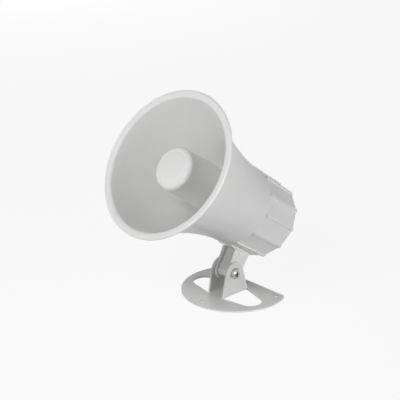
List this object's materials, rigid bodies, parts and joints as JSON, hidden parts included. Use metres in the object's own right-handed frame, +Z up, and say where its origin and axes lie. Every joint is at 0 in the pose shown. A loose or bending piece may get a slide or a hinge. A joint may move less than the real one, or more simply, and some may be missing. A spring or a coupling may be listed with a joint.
{
  "type": "horn siren loudspeaker",
  "caption": "Weatherproof white re-entrant horn siren with a flared bell, a central reflector, a ribbed rear housing and a tilting steel foot bracket.",
  "frame": {"origin": "centre of the base plate's round edge, on the plate's underside", "axes": "+X to the horn's right seen from its front, +Y behind it, +Z up, away from the surface it is fixed to"},
  "size_m": [0.14, 0.1884, 0.2065],
  "materials": {
    "white_paint": "satin",
    "zinc": "bright",
    "white_abs": "satin",
    "black_rubber": "matt",
    "steel": "satin",
    "black_phenolic": "matt",
    "phenolic_film": "satin",
    "copper_wire": "enamelled",
    "surround_film": "satin",
    "ferrite": "matt",
    "fibre_board": "matt",
    "tinned_brass": "bright",
    "circuit_board": "satin",
    "black_epoxy": "matt",
    "capacitor_sleeve": "satin",
    "resistor_body": "satin",
    "terminal_green": "satin",
    "red_pvc": "satin",
    "black_pvc": "satin"
  },
  "bodies": {
    "bracket": {"mounting_bracket": "white_paint", "pivot_bolt": "zinc", "flat_washer": "zinc", "spring_washer": "zinc", "pivot_nut": "zinc"},
    "horn": {"horn_bell": "white_abs", "reflector_bullet": "white_abs", "tone_tube": "white_abs", "rear_housing": "white_abs", "pivot_leg": "white_abs", "housing_seal": "black_rubber", "housing_screws": "steel", "lead_grommet": "black_rubber", "throat_gasket": "black_rubber", "compression_cap": "black_phenolic", "phase_plug": "black_phenolic", "diaphragm_surround": "surround_film", "clamp_ring": "steel", "top_plate": "steel", "ring_magnet": "ferrite", "magnet_yoke": "steel", "driver_screws": "steel", "terminal_strip": "fibre_board", "terminal_tags": "tinned_brass", "siren_board": "circuit_board", "board_screws": "steel", "siren_chip": "black_epoxy", "power_transistors": "black_epoxy", "supply_capacitor": "capacitor_sleeve", "resistors": "resistor_body", "lead_block": "terminal_green", "lead_block_screws": "steel", "driver_lead_upper": "red_pvc", "driver_lead_lower": "black_pvc"},
    "coil": {"diaphragm_dome": "phenolic_film", "coil_former": "phenolic_film", "voice_coil": "copper_wire"}
  },
  "joints": [
    {"name": "horn_tilt", "type": "hinge", "parent": "bracket", "child": "horn", "pos_m": [0, -0.0095, 0.023], "axis": [-1, 0, 0], "range_deg": [-38, 55]},
    {"name": "coil_stroke", "type": "slide", "parent": "horn", "child": "coil", "axis": [0, -0.8192, 0.5736], "range_m": [-0.0004, 0.0004], "stiffness_N_per_m": 1500}
  ]
}
